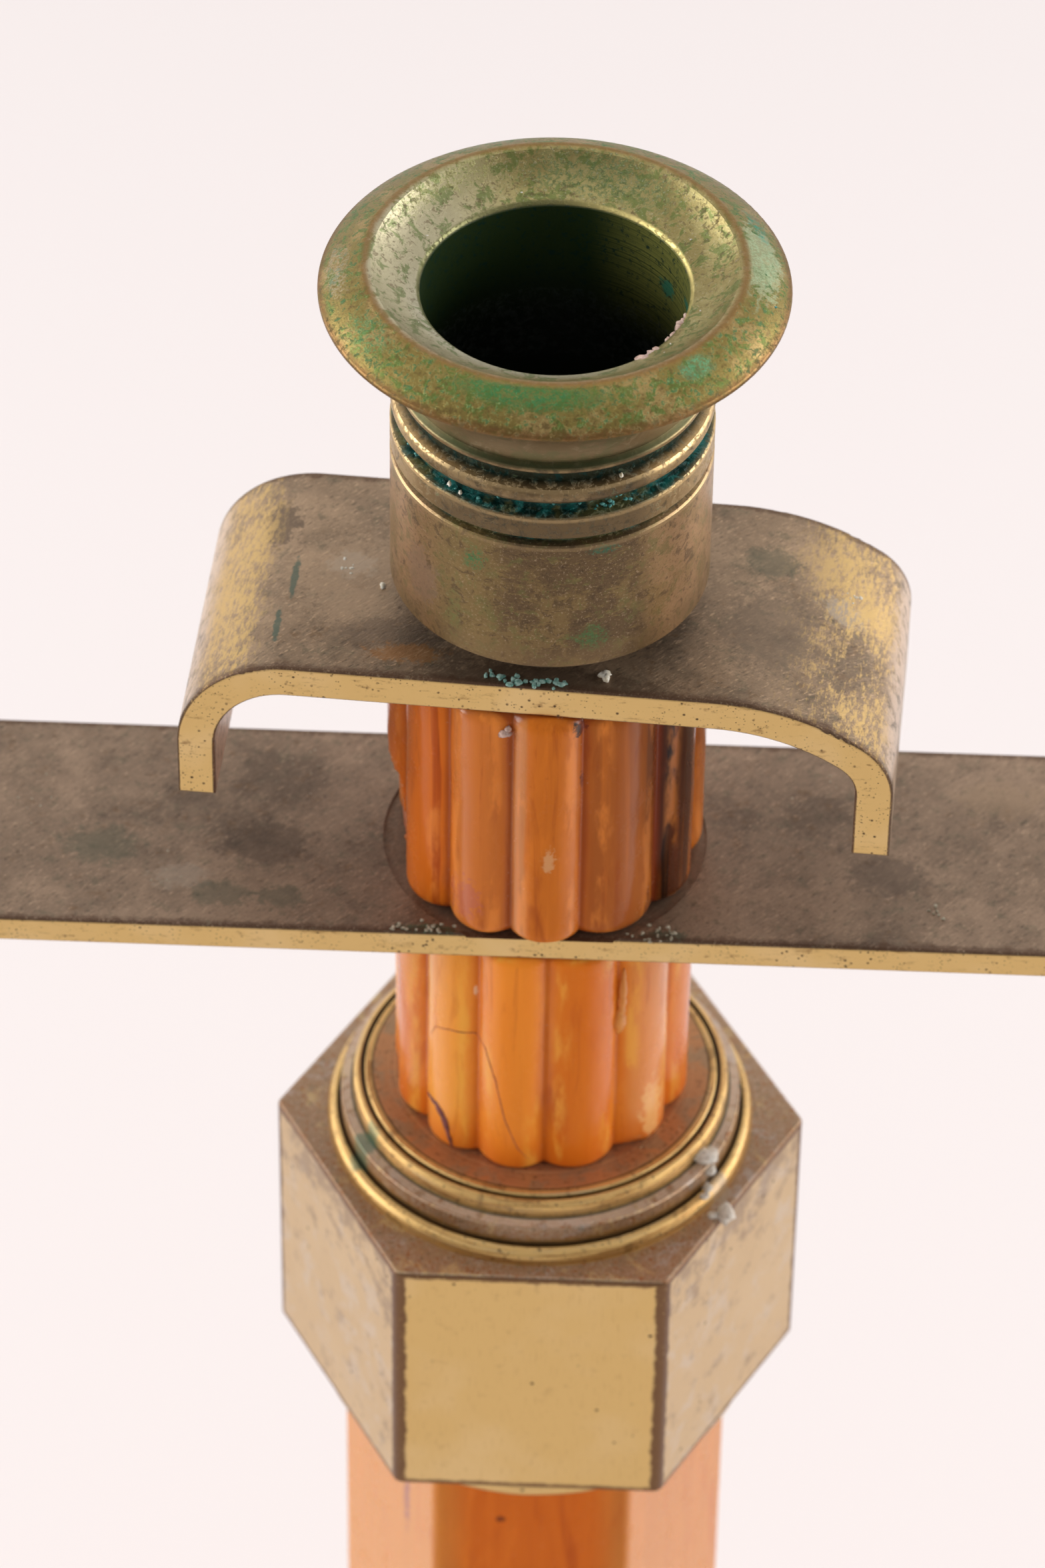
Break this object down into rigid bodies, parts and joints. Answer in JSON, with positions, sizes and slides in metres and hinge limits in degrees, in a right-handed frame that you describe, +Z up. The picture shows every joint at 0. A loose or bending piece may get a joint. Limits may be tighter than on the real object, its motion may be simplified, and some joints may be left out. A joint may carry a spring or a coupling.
{
  "type": "candelabrum",
  "caption": "Table candelabrum: hexagonal resin column and fluted resin beads clamped by a rod, arched brass cross bar and strap, turned brass candle cups, stepped round base.",
  "frame": {"origin": "on the table, under the middle of the round base", "axes": "+Z up along the tie rod, +X along the cross bar"},
  "size_m": [0.236, 0.124, 0.3004],
  "materials": {
    "brass_cup": "turned brass, olive and green verdigris over brown patina",
    "brass_strip": "rolled strip, dull brown grained faces and rubbed yellow edges",
    "brass_collar": "matt gold flats, brown edges and turned rings",
    "brass_base": "turned, satin, brown patina in the steps",
    "resin_upper": "polished cast phenolic resin, orange with red-brown streaks",
    "resin_lower": "polished cast phenolic resin, butterscotch orange with fine dark veins",
    "resin_column": "polished cast phenolic resin, amber orange",
    "steel": "dulled plain steel",
    "ballast_iron": "rough casting",
    "felt": "green felt"
  },
  "bodies": {
    "stand": {"felt_pad": "felt", "base_shell": "brass_base", "base_ballast": "ballast_iron", "base_washer": "steel", "base_nut": "steel", "tie_rod": "steel", "foot_collar": "brass_collar", "foot_lip": "brass_collar", "column": "resin_column", "collar_lip": "brass_collar", "hex_collar": "brass_collar"},
    "lower_bead": {"lower_bead": "resin_lower"},
    "arms": {"cross_bar": "brass_strip", "left_screw_washer": "brass_strip", "left_cup_screw": "brass_strip", "right_screw_washer": "brass_strip", "right_cup_screw": "brass_strip"},
    "upper_bead": {"upper_bead": "resin_upper"},
    "strap": {"top_strap": "brass_strip"},
    "centre_spacer": {"centre_cup_spacer": "brass_cup"},
    "centre_cup": {"centre_candle_cup": "brass_cup"},
    "left_spacer": {"left_cup_spacer": "brass_cup"},
    "left_cup": {"left_candle_cup": "brass_cup"},
    "right_spacer": {"right_cup_spacer": "brass_cup"},
    "right_cup": {"right_candle_cup": "brass_cup"}
  },
  "joints": [
    {"name": "lower_bead_turn", "type": "hinge", "parent": "stand", "child": "lower_bead", "pos_m": [0, 0, 0.22], "axis": [0, 0, 1], "continuous": true},
    {"name": "arm_swivel", "type": "hinge", "parent": "stand", "child": "arms", "pos_m": [0, 0, 0.2359], "axis": [0, 0, 1], "continuous": true},
    {"name": "upper_bead_turn", "type": "hinge", "parent": "stand", "child": "upper_bead", "pos_m": [0, 0, 0.249], "axis": [0, 0, 1], "continuous": true},
    {"name": "strap_swivel", "type": "hinge", "parent": "stand", "child": "strap", "pos_m": [0, 0, 0.265], "axis": [0, 0, 1], "continuous": true},
    {"name": "centre_cup_turn", "type": "hinge", "parent": "stand", "child": "centre_spacer", "pos_m": [0, 0, 0.265], "axis": [0, 0, 1], "range_deg": [0, 2160]},
    {"name": "centre_cup_lift", "type": "slide", "parent": "centre_spacer", "child": "centre_cup", "axis": [0, 0, 1], "range_m": [0, 0.0075]},
    {"name": "left_cup_turn", "type": "hinge", "parent": "arms", "child": "left_spacer", "pos_m": [-0.084, 0, 0.2359], "axis": [0, 0, 1], "range_deg": [0, 2520]},
    {"name": "left_cup_lift", "type": "slide", "parent": "left_spacer", "child": "left_cup", "axis": [0, 0, 1], "range_m": [0, 0.007]},
    {"name": "right_cup_turn", "type": "hinge", "parent": "arms", "child": "right_spacer", "pos_m": [0.084, 0, 0.2359], "axis": [0, 0, 1], "range_deg": [0, 2520]},
    {"name": "right_cup_lift", "type": "slide", "parent": "right_spacer", "child": "right_cup", "axis": [0, 0, 1], "range_m": [0, 0.007]}
  ],
  "couplings": [
    {"joint": "centre_cup_turn", "follows": "centre_cup_lift", "rad_per_m": 5026.5},
    {"joint": "left_cup_turn", "follows": "left_cup_lift", "rad_per_m": 6283.2},
    {"joint": "right_cup_turn", "follows": "right_cup_lift", "rad_per_m": 6283.2}
  ]
}
